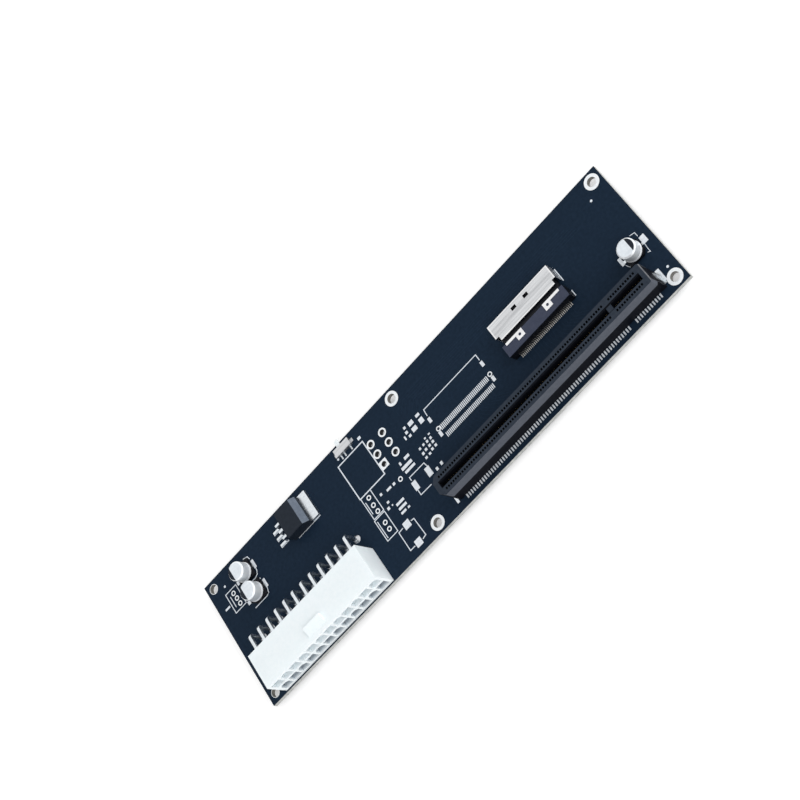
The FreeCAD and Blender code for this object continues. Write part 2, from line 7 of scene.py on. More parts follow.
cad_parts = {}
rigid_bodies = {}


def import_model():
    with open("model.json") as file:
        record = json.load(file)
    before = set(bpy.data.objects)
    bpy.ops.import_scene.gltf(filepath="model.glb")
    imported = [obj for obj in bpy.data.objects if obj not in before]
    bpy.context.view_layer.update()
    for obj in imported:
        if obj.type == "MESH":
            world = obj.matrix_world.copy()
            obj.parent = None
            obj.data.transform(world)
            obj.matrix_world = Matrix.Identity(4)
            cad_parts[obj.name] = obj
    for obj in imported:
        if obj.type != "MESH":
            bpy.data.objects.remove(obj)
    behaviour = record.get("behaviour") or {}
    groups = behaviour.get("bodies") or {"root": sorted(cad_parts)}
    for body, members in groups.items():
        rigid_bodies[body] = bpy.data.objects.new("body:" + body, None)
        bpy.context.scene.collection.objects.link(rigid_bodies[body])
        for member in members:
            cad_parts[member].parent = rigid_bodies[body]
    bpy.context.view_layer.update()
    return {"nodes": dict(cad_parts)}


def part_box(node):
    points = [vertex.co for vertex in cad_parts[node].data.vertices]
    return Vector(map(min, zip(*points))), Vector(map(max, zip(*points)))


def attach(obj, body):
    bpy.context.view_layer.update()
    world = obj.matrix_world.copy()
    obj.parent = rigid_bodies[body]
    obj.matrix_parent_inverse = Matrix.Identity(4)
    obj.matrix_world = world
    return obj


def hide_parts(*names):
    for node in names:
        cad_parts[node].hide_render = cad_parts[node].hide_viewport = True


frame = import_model()

# Sizes and places below are millimetres from the board's near left corner and above its top
MM = 0.001
board_low, board_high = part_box("circuit_board")
BOARD_THICK = (board_high[2] - board_low[2]) / MM

PRINT_THICK = 0.03
STRIP_LIFT = PRINT_THICK / 6
PAD_THICK = 0.04
TRACE_THICK = 0.015
RING_THICK = 0.03
BARREL_THICK = 0.04
RING_TOP, RING_LOW = PAD_THICK, -BOARD_THICK - PAD_THICK

# Points closer than this are one point
MERGE = MM / 1000

# Edges that turn by more degrees than this stay sharp
CREASE, SOFT_CREASE = 40, 60

# Sides of the round pieces
DOT_SIDES, HOLE_SIDES, SCREW_SIDES, EYELET_SIDES, SOLDER_SIDES, CAN_SIDES = 16, 32, 48, 24, 20, 64


def on_board(x, y, z=0.0):
    """A point of the frame, from its place on the board."""
    return Vector((board_low[0] + x * MM, board_low[1] + y * MM, board_high[2] + z * MM))


# Mesh work


def begin(name):
    """Start an empty piece in edit mode, with its origin at the frame's."""
    bpy.ops.object.select_all(action="DESELECT")
    bpy.ops.mesh.primitive_plane_add()
    piece = bpy.context.object
    piece.name = name
    piece.data.name = name
    bpy.ops.object.mode_set(mode="EDIT")
    bpy.ops.mesh.delete(type="VERT")
    return piece


def add_plate(x, y, width, depth, turn=0.0, z=0.0):
    """Lay one flat rectangle, turned about its own middle."""
    middle = on_board(x, y, z)
    bpy.ops.mesh.primitive_plane_add(size=MM, location=middle)
    bpy.ops.transform.resize(value=(width, depth, 1), center_override=middle)
    if turn:
        bpy.ops.transform.rotate(value=-turn, orient_axis="Z", center_override=middle)


def repeat(count, step_x=0.0, step_y=0.0):
    """Copy what was just laid, step by step, until it is there count times."""
    for _ in range(count - 1):
        bpy.ops.mesh.duplicate_move(TRANSFORM_OT_translate={"value": (step_x * MM, step_y * MM, 0)})


def add_line(points, width):
    """Lay a bent line as flat strips that overlap at its corners, every other one a hair higher."""
    for number, ((x0, y0), (x1, y1)) in enumerate(zip(points, points[1:])):
        length = math.hypot(x1 - x0, y1 - y0) + width
        lift = STRIP_LIFT * (number % 2)
        add_plate((x0 + x1) / 2, (y0 + y1) / 2, length, width, math.atan2(y1 - y0, x1 - x0), lift)


def add_frame(x0, y0, x1, y1, width):
    """Lay the outline of a rectangle."""
    add_line([(x0, y0), (x1, y0), (x1, y1), (x0, y1), (x0, y0)], width)


def add_dot(x, y, radius):
    """Lay one flat disc."""
    bpy.ops.mesh.primitive_circle_add(vertices=DOT_SIDES, radius=radius * MM, fill_type="NGON",
                                      location=on_board(x, y))


def draw_out(middle, grow, rise=0.0):
    """Extrude the chosen edge loop to a new size about its middle, and lift it."""
    bpy.ops.mesh.extrude_edges_move(TRANSFORM_OT_translate={"value": (0, 0, rise * MM)})
    bpy.ops.transform.resize(value=(grow, grow, 1), center_override=middle)


def add_lathe(x, y, rings, sides=HOLE_SIDES):
    """Turn a skin through rings of radius and height about one upright axis, and leave it chosen."""
    radius, height = rings[0]
    middle = on_board(x, y)
    bpy.ops.mesh.primitive_circle_add(vertices=sides, radius=radius * MM, fill_type="NOTHING",
                                      location=on_board(x, y, height))
    for wide, high in rings[1:]:
        draw_out(middle, wide / radius, high - height)
        radius, height = wide, high
    bpy.ops.mesh.select_linked()


def finish(piece, material, thick=0.0, offset=1.0, body="card", smooth=0.0):
    """Leave edit mode, thicken the skin by millimetres, give it a finish, and set it on its body."""
    bpy.ops.mesh.select_all(action="SELECT")
    bpy.ops.mesh.remove_doubles(threshold=MERGE)
    bpy.ops.object.mode_set(mode="OBJECT")
    if thick:
        bpy.ops.object.modifier_add(type="SOLIDIFY")
        piece.modifiers[-1].thickness = thick * MM
        piece.modifiers[-1].offset = offset
        bpy.ops.object.modifier_apply(modifier=piece.modifiers[-1].name)
    if smooth:
        bpy.ops.object.shade_smooth_by_angle(angle=math.radians(smooth))
    piece.data.materials.append(material)
    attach(piece, body)


# Finishes

# Grains to the metre, the detail of tones and of relief, where along a grain the dark tone ends and the
# light one starts, and how deep the relief is
GRAIN, FINER = 900.0, 4
FINE_GRAIN = GRAIN * FINER
TONE_DETAIL, RELIEF_DETAIL = 4.0, 2.0
TONE_START, TONE_END = 0.3, 0.7
RELIEF = 0.01
EVEN = (1, 1, 1)

# Sockets of a node that mixes colours
MIX_SHARE, MIX_FIRST, MIX_SECOND, MIX_RESULT = 0, 6, 7, 2


def new_finish(name, roughness, metallic=0.0, specular=0.5):
    """A material with one shader, ready for the nodes that place a pattern on it."""
    material = bpy.data.materials.new(name)
    material.use_nodes = True
    shader = material.node_tree.nodes["Principled BSDF"]
    shader.inputs["Roughness"].default_value = roughness
    shader.inputs["Metallic"].default_value = metallic
    shader.inputs["Specular IOR Level"].default_value = specular
    return material, shader


def add_node(material, kind, **values):
    """Add a node and set its plain values by socket name."""
    node = material.node_tree.nodes.new(kind)
    for name, value in values.items():
        node.inputs[name.replace("_", " ")].default_value = value
    return node


def join(material, source, target):
    """Link one socket to another."""
    material.node_tree.links.new(source, target)


def grain(material, scale, detail, stretch=EVEN):
    """Noise on the piece's own coordinates, drawn out by stretch."""
    place = add_node(material, "ShaderNodeTexCoord")
    mapping = add_node(material, "ShaderNodeMapping", Scale=stretch)
    noise = add_node(material, "ShaderNodeTexNoise", Scale=scale, Detail=detail)
    join(material, place.outputs["Object"], mapping.inputs["Vector"])
    join(material, mapping.outputs["Vector"], noise.inputs["Vector"])
    return noise.outputs["Fac"]


def ranged(material, source, start, end, low=0.0, high=1.0):
    """Go from low to high while the source goes from start to end."""
    node = add_node(material, "ShaderNodeMapRange", From_Min=start, From_Max=end, To_Min=low,
                    To_Max=high)
    join(material, source, node.inputs["Value"])
    return node.outputs["Result"]


def from_face(material, source, face, start, end):
    """Go from nothing to all between two distances from a face, in millimetres."""
    return ranged(material, source, face + start * MM, face + end * MM)


def axis_of(material, kind, axis):
    """One axis of the piece's own coordinates or of its normal."""
    place = add_node(material, "ShaderNodeTexCoord")
    split = add_node(material, "ShaderNodeSeparateXYZ")
    join(material, place.outputs[kind], split.inputs["Vector"])
    return split.outputs[axis]


def combine(material, operation, first, second=None):
    """One value worked out of one or two others."""
    node = add_node(material, "ShaderNodeMath")
    node.operation = operation
    join(material, first, node.inputs[0])
    if second:
        join(material, second, node.inputs[1])
    return node.outputs[0]


def tones(material, source, dark, light):
    """Colours from dark to light along a noise."""
    ramp = add_node(material, "ShaderNodeValToRGB")
    ramp.color_ramp.elements[0].position = TONE_START
    ramp.color_ramp.elements[0].color = (*dark, 1)
    ramp.color_ramp.elements[1].position = TONE_END
    ramp.color_ramp.elements[1].color = (*light, 1)
    join(material, source, ramp.inputs["Fac"])
    return ramp.outputs["Color"]


def blend(material, share, first, second):
    """The first colour, going over to the second as the share rises."""
    mix = add_node(material, "ShaderNodeMix")
    mix.data_type = "RGBA"
    join(material, share, mix.inputs[MIX_SHARE])
    join(material, first, mix.inputs[MIX_FIRST])
    join(material, second, mix.inputs[MIX_SECOND])
    return mix.outputs[MIX_RESULT]


def roughen(material, shader, source, rough):
    """Vary the gloss along a noise."""
    join(material, ranged(material, source, TONE_START, TONE_END, *rough), shader.inputs["Roughness"])


def relief(material, shader, source):
    """Raise the surface a hair along a noise."""
    bump = add_node(material, "ShaderNodeBump", Distance=RELIEF * MM)
    join(material, source, bump.inputs["Height"])
    join(material, bump.outputs["Normal"], shader.inputs["Normal"])


def plain_finish(name, dark, light, rough, metallic=0.0, scale=GRAIN, stretch=EVEN, specular=0.5):
    """A finish whose colour, gloss and surface all vary along one grain."""
    material, shader = new_finish(name, rough[0], metallic, specular)
    noise = grain(material, scale, TONE_DETAIL, stretch)
    join(material, tones(material, noise, dark, light), shader.inputs["Base Color"])
    roughen(material, shader, noise, rough)
    relief(material, shader, grain(material, scale * FINER, RELIEF_DETAIL, stretch))
    return material


def two_tone_finish(name, share_of, first, second, rough, metallic=0.0, stretch=EVEN, specular=0.5):
    """A finish with two pairs of tones; the share of the second comes from share_of."""
    material, shader = new_finish(name, rough[0], metallic, specular)
    noise = grain(material, GRAIN, TONE_DETAIL, stretch)
    colour = blend(material, share_of(material), tones(material, noise, *first),
                   tones(material, noise, *second))
    join(material, colour, shader.inputs["Base Color"])
    roughen(material, shader, noise, rough)
    relief(material, shader, grain(material, FINE_GRAIN, RELIEF_DETAIL))
    return material


def on_edges(material):
    """The share of cut edge: all of an upright wall, nothing of a flat face."""
    flat, upright = 0.8, 0.2
    up = combine(material, "ABSOLUTE", axis_of(material, "Normal", "Z"))
    return ranged(material, up, flat, upright)


# Where the slot's painted light starts and is whole: from its top, from its right end, and across half of
# it
SLOT_TOP, SLOT_STEP, SLOT_END = (-0.5, -0.45), (-4.05, -3.95), (-0.4, -0.3)
SLOT_WALL = (0.75, 0.8)
SLOT_ROUGH = (0.42, 0.54)


def slot_finish():
    """Black with painted light and shade: a lit band above the step, a lit top over cavities left dark, a
    highlight at the end.
    """
    material, shader = new_finish("slot_moulding", SLOT_ROUGH[0], specular=0.04)
    low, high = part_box("pcie_slot_housing")
    middle, reach = (low[1] + high[1]) / 2, (high[1] - low[1]) / 2
    height, side = axis_of(material, "Object", "Z"), axis_of(material, "Object", "Y")
    slanted, flat = 0.85, 0.95
    level = ranged(material, axis_of(material, "Normal", "Z"), slanted, flat)
    top = combine(material, "MULTIPLY", from_face(material, height, high[2], *SLOT_TOP), level)
    upper = from_face(material, height, high[2], *SLOT_STEP)
    across = ranged(material, side, middle - reach, middle + reach, -1.0, 1.0)
    outer = ranged(material, combine(material, "ABSOLUTE", across), *SLOT_WALL)
    wall = combine(material, "MULTIPLY", upper, outer)
    end = combine(material, "MULTIPLY", top,
                  from_face(material, axis_of(material, "Object", "X"), high[0], *SLOT_END))
    noise = grain(material, GRAIN, TONE_DETAIL)
    # The band, the top and the end are painted light over the black, which stays as painted shade in the
    # cavities
    colour = blend(material, wall, tones(material, noise, *JET), tones(material, noise, *PAINTED_LIT_BAND))
    colour = blend(material, top, colour, tones(material, noise, *PAINTED_LIT_TOP))
    colour = blend(material, end, colour, tones(material, noise, *PAINTED_END_HIGHLIGHT))
    join(material, colour, shader.inputs["Base Color"])
    roughen(material, shader, noise, SLOT_ROUGH)
    relief(material, shader, grain(material, FINE_GRAIN, RELIEF_DETAIL))
    return material


# Where the shell's painted highlight on its folds starts and is whole: from its ends, its rear edge and
# its front edge
SHELL_ENDS, SHELL_REAR, SHELL_FRONT = (-0.45, -0.35), (0.5, 0.4), (-0.4, -0.3)
SHEET_ROUGH = (0.34, 0.5)
BRUSH_GRAIN = 1700.0
STREAK, FINE_STREAK = (0.04, 1, 1), (0.06, 1, 1)


def shell_finish():
    """Brushed sheet along the board, with a painted highlight where the roof's edges are folded."""
    material, shader = new_finish("folded_sheet", SHEET_ROUGH[0], 1.0)
    low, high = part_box("cable_socket_shell")
    middle, reach = (low[0] + high[0]) / 2, (high[0] - low[0]) / 2
    along, across = axis_of(material, "Object", "X"), axis_of(material, "Object", "Y")
    off_middle = combine(material, "ABSOLUTE",
                         ranged(material, along, middle - reach, middle + reach, -reach, reach))
    ends = from_face(material, off_middle, reach, *SHELL_ENDS)
    sides = combine(material, "MAXIMUM", from_face(material, across, low[1], *SHELL_REAR),
                    from_face(material, across, high[1], *SHELL_FRONT))
    folds = combine(material, "MAXIMUM", ends, sides)
    streaks = grain(material, BRUSH_GRAIN, TONE_DETAIL, STREAK)
    # Painted highlight on the folded edges
    colour = blend(material, folds, tones(material, streaks, *BRUSHED),
                   tones(material, streaks, *POLISH_AND_FOLD_HIGHLIGHT))
    join(material, colour, shader.inputs["Base Color"])
    roughen(material, shader, streaks, SHEET_ROUGH)
    relief(material, shader, grain(material, FINE_GRAIN, RELIEF_DETAIL, FINE_STREAK))
    return material


def on_block_top(material):
    """The top face of the cable socket's block, where its black gets painted light."""
    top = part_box("cable_socket_housing")[1][2]
    start, whole = -0.3, -0.2
    return from_face(material, axis_of(material, "Object", "Z"), top, start, whole)


def on_right_bevel(material):
    """Faces that look both up and to the right, where the regulator gets a painted reflection."""
    right, up = axis_of(material, "Normal", "X"), axis_of(material, "Normal", "Z")
    start, whole = 0.15, 0.3
    return ranged(material, combine(material, "MULTIPLY", right, up), start, whole)


def off_top(material):
    """Everything but the faces that look straight up: the can's sides and slanted edge, which get a
    painted highlight.
    """
    flat, slanted = 0.9, 0.8
    return ranged(material, axis_of(material, "Normal", "Z"), flat, slanted)


# Heights of the power header's lower openings, and where their painted shade starts and is whole: from
# the mouth, the back wall, the floor and the roof, and as a share of the half length
CELL_FLOOR, CELL_ROOF = 0.9, 4.5
CELL_MOUTH, CELL_BACK = (0.1, 1.3), (-0.1, -0.2)
CELL_BELOW, CELL_ABOVE, CELL_ENDS = (-0.05, 0.0), (0.05, 0.0), (0.99, 0.98)


def in_lower_cells(material):
    """The painted shade inside the header's lower openings, from nothing at their mouths to all further
    in.
    """
    low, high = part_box("power_header_housing")
    middle, reach = (low[0] + high[0]) / 2, (high[0] - low[0]) / 2
    floor, roof = on_board(0, 0, CELL_FLOOR).z, on_board(0, 0, CELL_ROOF).z
    length, depth, height = (axis_of(material, "Object", axis) for axis in "XYZ")
    along = ranged(material, length, middle - reach, middle + reach, -1.0, 1.0)
    share = from_face(material, depth, low[1], *CELL_MOUTH)
    for bound in (from_face(material, depth, high[1], *CELL_BACK),
                  from_face(material, height, floor, *CELL_BELOW),
                  from_face(material, height, roof, *CELL_ABOVE),
                  ranged(material, combine(material, "ABSOLUTE", along), *CELL_ENDS)):
        share = combine(material, "MULTIPLY", share, bound)
    return share


# How much light goes into the nylon, and how deep
GLOW_SHARE, GLOW_DEPTH = 0.4, 1.5


def nylon_finish():
    """White nylon that lets some light through its thin walls, with painted shade inside the lower
    openings.
    """
    material = two_tone_finish("white_nylon", in_lower_cells, NYLON, SHADED_NYLON, (0.36, 0.48))
    shader = material.node_tree.nodes["Principled BSDF"]
    shader.inputs["Subsurface Weight"].default_value = GLOW_SHARE
    shader.inputs["Subsurface Radius"].default_value = EVEN
    shader.inputs["Subsurface Scale"].default_value = GLOW_DEPTH * MM
    return material


# Pairs of tones, dark and light
NYLON = ((0.835, 0.912, 0.952), (0.875, 0.942, 0.978))
# Painted shade inside the header's lower openings
SHADED_NYLON = ((0.4, 0.45, 0.5), (0.45, 0.5, 0.55))
JET = ((0.0035, 0.0042, 0.0068), (0.0055, 0.0064, 0.0095))
# Painted light on the slot's top
PAINTED_LIT_TOP = ((0.025, 0.033, 0.047), (0.034, 0.043, 0.058))
# Painted light on the slot's outer walls above the step
PAINTED_LIT_BAND = ((0.078, 0.087, 0.108), (0.095, 0.105, 0.128))
# Painted highlight along the top of the slot's right end
PAINTED_END_HIGHLIGHT = ((0.14, 0.145, 0.16), (0.22, 0.225, 0.24))
# Painted light on the top of the cable socket's block
PAINTED_LIT_SLATE = ((0.034, 0.042, 0.07), (0.045, 0.053, 0.085))
SOOT = ((0.0085, 0.013, 0.021), (0.0145, 0.0205, 0.03))
# Painted reflection on the regulator's bevel
PAINTED_BEVEL_SHEEN = ((0.115, 0.14, 0.18), (0.15, 0.18, 0.225))
BRUSHED = ((0.5, 0.51, 0.525), (0.755, 0.765, 0.78))
# The strap's own bright tone, and the painted highlight on the shell's folded edges
POLISH_AND_FOLD_HIGHLIGHT = ((0.8, 0.8, 0.81), (0.93, 0.93, 0.93))
DRAWN = ((0.69, 0.74, 0.79), (0.8, 0.85, 0.895))
# Painted highlight on the cans' sides and slanted edges
PAINTED_CAN_HIGHLIGHT = ((0.84, 0.89, 0.94), (0.94, 0.965, 0.985))
LAMINATE = ((0.36, 0.37, 0.36), (0.55, 0.55, 0.53))
NAVY = ((0.0081, 0.0174, 0.0328), (0.0109, 0.0221, 0.0413))

# A finish gives its tones, its range of roughness, how metallic it is, and its grains to the metre
MASK = two_tone_finish("solder_mask", on_edges, NAVY, LAMINATE, (0.36, 0.46), specular=0.04)
TRACE_MASK = plain_finish("masked_copper", (0.0106, 0.0225, 0.0423), (0.0131, 0.0265, 0.0488),
                          (0.36, 0.44), specular=0.04)
INK = plain_finish("white_print", (0.66, 0.71, 0.77), (0.76, 0.81, 0.86), (0.6, 0.75), scale=3000.0,
                   specular=0.2)
TIN = plain_finish("bright_tin", (0.67, 0.71, 0.75), (0.83, 0.88, 0.91), (0.26, 0.4), 1.0, 1500.0)
SOLDER = plain_finish("solder", (0.58, 0.59, 0.62), (0.76, 0.77, 0.79), (0.2, 0.36), 1.0, 700.0)
PAD_TIN = plain_finish("tinned_pad", (0.66, 0.7, 0.75), (0.79, 0.83, 0.87), (0.4, 0.55), 0.3, 1200.0)
RING_TIN = plain_finish("ring_plating", (0.79, 0.825, 0.855), (0.89, 0.92, 0.94),
                        (0.4, 0.55), 0.2, 1200.0)
# Dark grey walls for the screw holes, and near black ones for the spare holes
DARK_SCREW_WALL = plain_finish("screw_hole_wall", (0.17, 0.165, 0.15), (0.28, 0.27, 0.25),
                        (0.4, 0.55), 0.5, 1500.0)
DARK_HOLE_WALL = plain_finish("dark_hole_wall", (0.03, 0.032, 0.036), (0.06, 0.062, 0.066),
                        (0.4, 0.55), 0.6, 1500.0)
DULL_TIN = plain_finish("dull_lead", (0.42, 0.41, 0.39), (0.65, 0.63, 0.59),
                        (0.35, 0.5), 0.9, 1800.0)
GOLD = plain_finish("gold_flash", (0.42, 0.32, 0.14), (0.58, 0.45, 0.22), (0.3, 0.42), 1.0, 2000.0)
BLACK = plain_finish("black_moulding", *JET, (0.45, 0.56), specular=0.15)
SLOT_BLACK = slot_finish()
BLOCK_LIT_TOP = two_tone_finish("block_moulding", on_block_top, JET, PAINTED_LIT_SLATE, (0.42, 0.55), specular=0.2)
BODY_BLACK = two_tone_finish("regulator_moulding", on_right_bevel, SOOT, PAINTED_BEVEL_SHEEN, (0.45, 0.58),
                             specular=0.15)
WHITE = nylon_finish()
CAN = two_tone_finish("drawn_can", off_top, DRAWN, PAINTED_CAN_HIGHLIGHT, (0.28, 0.38), 0.4, stretch=(1, 1, 0.1))
STEEL = plain_finish("brushed_sheet", *BRUSHED, SHEET_ROUGH, 1.0, stretch=FINE_STREAK)
SHELL = shell_finish()
STRAP = plain_finish("strap_sheet", *POLISH_AND_FOLD_HIGHLIGHT, (0.34, 0.46), 1.0, 1200.0, stretch=(0.1, 1, 1))
# The cans' own aluminium, brightened as a painted highlight on the rolled rim
RIM_WITH_HIGHLIGHT = plain_finish("rolled_edge", (0.82, 0.85, 0.89), (0.91, 0.93, 0.96),
                           (0.25, 0.35), 0.25, 1200.0)
POLARITY_INK = plain_finish("polarity_ink", (0.014, 0.018, 0.026), (0.024, 0.029, 0.038), (0.5, 0.65),
                            specular=0.08)

NODE_FINISHES = {
    "circuit_board": MASK,
    "pcie_slot_housing": SLOT_BLACK,
    "pcie_slot_contacts": PAD_TIN,
    "slot_clip": TIN,
    "cable_socket_housing": BLOCK_LIT_TOP,
    "cable_socket_shell": SHELL,
    "cable_socket_clip": STRAP,
    "cable_socket_leads": DULL_TIN,
    "power_header_housing": WHITE,
    "power_header_pins": TIN,
    "capacitor_can": CAN,
    "capacitor_base": BLACK,
    "capacitor_terminals": TIN,
    "regulator_body": BODY_BLACK,
    "regulator_tab": TIN,
    "regulator_leads": TIN,
    "switch_frame": STEEL,
    "switch_base": BLACK,
    "switch_leads": TIN,
    "switch_lever": WHITE,
    "switch_wiper": GOLD,
}


def dress_nodes():
    """Give every solid of the frame its finish."""
    for name, node in frame["nodes"].items():
        start = next(start for start in NODE_FINISHES if name.startswith(start))
        for place in node.material_slots:
            place.material = NODE_FINISHES[start]


# Board print

# Widths of the printed lines
FINE, THIN, THICK = 0.2, 0.3, 0.4

PRINT_LINES = (
    # jumper places beside the power header
    [(64.4, 28.3), (64.4, 20.1), (68.9, 20.1), (68.9, 28.3)],
    [(65.1, 26.4), (65.1, 21.9)],
    [(64.1, 11.4), (64.1, 19.6), (68.8, 19.6), (68.8, 11.4), (64.1, 11.4)],
    [(64.8, 18.6), (64.8, 12.2)],
    [(5.6, 33.5), (10.8, 33.5), (10.8, 41.1), (5.6, 41.1), (5.6, 33.5)],
    [(6.8, 35.2), (6.8, 39.2)],
    # empty capacitor places
    [(82.0, 20.2), (82.0, 21.3), (88.6, 21.2), (88.9, 19.9)],
    [(81.9, 15.9), (81.9, 14.2), (86.5, 14.1)],
    [(74.4, 10.5), (75.5, 10.3), (75.7, 3.5), (74.3, 3.2)],
    [(70.5, 10.7), (68.7, 10.6), (68.6, 3.4), (70.6, 3.4)],
    # empty cable socket place
    [(98.5, 31.9), (98.7, 34.2), (122.6, 34.1), (122.6, 31.9)],
    # right-hand side of the fitted cable socket
    [(158.1, 34.2), (158.1, 31.3)],
    [(158.1, 31.0), (158.1, 29.5)],
    [(158.1, 25.0), (158.1, 22.9)],
    # corners round the fitted capacitors
    [(20.35, 40.0), (20.2, 38.9), (19.6, 37.8), (18.3, 37.3), (16.9, 37.35)],
    [(18.1, 45.6), (19.8, 45.1), (20.1, 44.0)],
    [(18.9, 37.0), (19.8, 35.8)],
    [(20.2, 31.7), (19.6, 29.9), (18.5, 29.5), (12.8, 29.5)],
)

# Finer corners round the right-hand capacitor
FINE_LINES = (
    [(181.5, 23.4), (183.1, 23.0), (183.1, 21.5)],
    [(183.2, 18.0), (183.0, 16.3), (183.0, 14.9), (182.3, 15.3)],
    [(175.0, 17.5), (175.3, 16.7), (175.8, 15.9), (176.6, 15.3)],
)

# The outline of the largest empty place as two corners, round marks, and patches as middle and size
BIG_FRAME = (64.2, 28.7, 76.0, 42.8)
PRINT_DOTS = ((65.7, 44.8), (179.7, 41.2), (183.8, 7.4), (7.0, 43.6))
DOT_RADIUS = 0.42
PRINT_PATCHES = ((75.7, 44.5, 1.3, 1.0), (3.8, 37.0, 2.2, 0.7))


def white_print():
    """The outlines of the board's empty places, and marks round the fitted parts."""
    piece = begin("white_print")
    add_frame(*BIG_FRAME, THICK)
    for points in PRINT_LINES:
        add_line(points, THIN)
    for points in FINE_LINES:
        add_line(points, FINE)
    for x, y in PRINT_DOTS:
        add_dot(x, y, DOT_RADIUS)
    for patch in PRINT_PATCHES:
        add_plate(*patch)
    finish(piece, INK, PRINT_THICK)


# Bare pads of the empty places: middle, width along the board, depth across it
BARE_PADS = (
    (88.4, 17.9, 1.9, 3.4), (82.2, 17.8, 1.8, 3.3), (72.5, 10.6, 2.6, 2.6), (72.4, 3.4, 2.6, 2.6),
    (98.4, 30.1, 1.1, 1.9), (122.6, 30.2, 1.1, 1.9), (98.7, 23.9, 1.1, 1.9), (122.6, 23.8, 1.1, 1.9),
    (96.0, 34.6, 1.6, 1.0), (96.1, 32.3, 1.7, 1.9), (92.7, 34.4, 2.0, 1.5), (92.7, 32.0, 2.0, 1.6),
    (90.1, 34.8, 0.9, 0.9), (89.8, 33.1, 1.0, 1.0), (90.2, 31.4, 1.0, 0.9), (88.4, 32.0, 0.6, 1.4),
    (95.5, 27.0, 0.8, 0.5), (95.2, 25.6, 0.8, 0.9), (95.1, 24.1, 0.9, 0.9), (95.2, 22.5, 0.9, 0.9),
    (93.6, 26.9, 0.7, 0.6), (93.6, 25.6, 0.8, 0.9), (93.5, 24.0, 0.9, 0.9), (93.6, 22.4, 0.9, 0.9),
    (92.0, 25.7, 0.8, 0.8), (91.8, 23.9, 0.9, 0.9), (92.1, 21.9, 0.9, 0.8), (90.3, 25.6, 0.8, 0.8),
    (90.3, 23.6, 0.9, 1.0), (90.4, 21.8, 0.9, 0.8),
    (85.2, 27.2, 2.2, 1.0), (83.7, 25.1, 4.6, 1.1), (84.0, 23.45, 4.4, 0.9), (82.1, 27.0, 0.7, 1.2),
    (93.3, 16.7, 0.9, 1.2), (91.1, 16.4, 0.9, 1.1),
    (76.6, 23.8, 1.0, 0.9), (74.3, 23.9, 2.0, 0.8), (71.0, 24.5, 0.9, 0.9),
    (70.5, 19.1, 1.0, 1.0), (72.2, 19.0, 0.5, 0.5), (71.5, 20.8, 0.9, 0.8),
    (74.9, 17.8, 3.4, 0.9), (74.8, 16.1, 3.4, 0.9), (76.4, 14.4, 0.9, 0.7), (74.1, 14.5, 2.2, 0.8),
)

# Pads under the fitted parts, laid out the same way
CAPACITOR_PADS = (
    (183.85, 19.4, 1.9, 2.8), (174.6, 19.4, 1.1, 2.9), (20.45, 41.5, 1.1, 3.2), (12.0, 40.7, 1.2, 1.4),
    (20.45, 33.4, 1.1, 3.2), (11.7, 32.6, 1.2, 1.4),
)
TAB_PAD = (44.55, 40.65, 10.7, 10.5)
REGULATOR_PAD, REGULATOR_LEADS, REGULATOR_STEP = (34.0, 38.16, 3.6, 1.2), 3, 2.54
SLOT_CLIP_PAD = (180.9, 6.9, 1.0, 4.6)

# One row of pads under the fitted cable socket and two at the empty place
SOCKET_WAYS = 37
SOCKET_PAD, SOCKET_STEP = (134.0, 21.75, 0.24, 0.5), 0.6
EMPTY_ROWS, EMPTY_STEP = ((99.9, 25.35, 0.32, 1.9), (100.2, 22.1, 0.32, 1.7)), 0.586


def pads():
    """Tinned pads: under the fitted parts, and bare at the empty places."""
    piece = begin("tinned_pads")
    for pad in BARE_PADS + CAPACITOR_PADS + (TAB_PAD,):
        add_plate(*pad)
    add_plate(*REGULATOR_PAD)
    repeat(REGULATOR_LEADS, step_y=REGULATOR_STEP)
    for pad in EMPTY_ROWS:
        add_plate(*pad)
        repeat(SOCKET_WAYS, step_x=EMPTY_STEP)
    add_plate(*SOCKET_PAD)
    repeat(SOCKET_WAYS, step_x=SOCKET_STEP)
    add_plate(*SLOT_CLIP_PAD)
    finish(piece, PAD_TIN, PAD_THICK)


# The slot's contacts run both ways from its key: first place, count and step along the board
SLOT_RUNS = ((167.0, 11, 1.0), (164.0, 71, -1.0))
FOOT_ROWS = (2.05, 9.75)
FOOT_PAD = (0.5, 0.8)


def slot_pads():
    """One tinned pad under each contact foot of the slot."""
    piece = begin("slot_pads")
    for y in FOOT_ROWS:
        for first, count, step in SLOT_RUNS:
            add_plate(first, y, *FOOT_PAD)
            repeat(count, step_x=step)
    finish(piece, PAD_TIN, PAD_THICK)


# A spring's tip above the board and off the slot's middle, its section, and its bow as steps down and out
SPRING_TIP, SPRING_OFFSET = 7.2, 0.86
SPRING_SECTION = (0.42, 0.1)
SPRING_BOW = ((0.6, -0.2), (0.4, -0.04), (0.5, 0.1), (1.8, 0.14))


def slot_springs():
    """The bowed contact springs inside the slot, one on each wall at every contact."""
    piece = begin("slot_springs")
    low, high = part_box("pcie_slot_housing")
    middle = (low[1] + high[1]) / 2
    for side in (-1, 1):
        for first, count, step in SLOT_RUNS:
            tip = on_board(first, 0.0, SPRING_TIP)
            tip.y = middle + side * SPRING_OFFSET * MM
            bpy.ops.mesh.primitive_plane_add(size=MM, location=tip)
            bpy.ops.transform.resize(value=(*SPRING_SECTION, 1), center_override=tip)
            for drop, lean in SPRING_BOW:
                bpy.ops.mesh.extrude_region_move(
                    TRANSFORM_OT_translate={"value": (0, side * lean * MM, -drop * MM)})
            bpy.ops.mesh.select_linked()
            repeat(count, step_x=step)
    bpy.ops.mesh.select_all(action="SELECT")
    bpy.ops.mesh.normals_make_consistent(inside=False)
    finish(piece, GOLD)


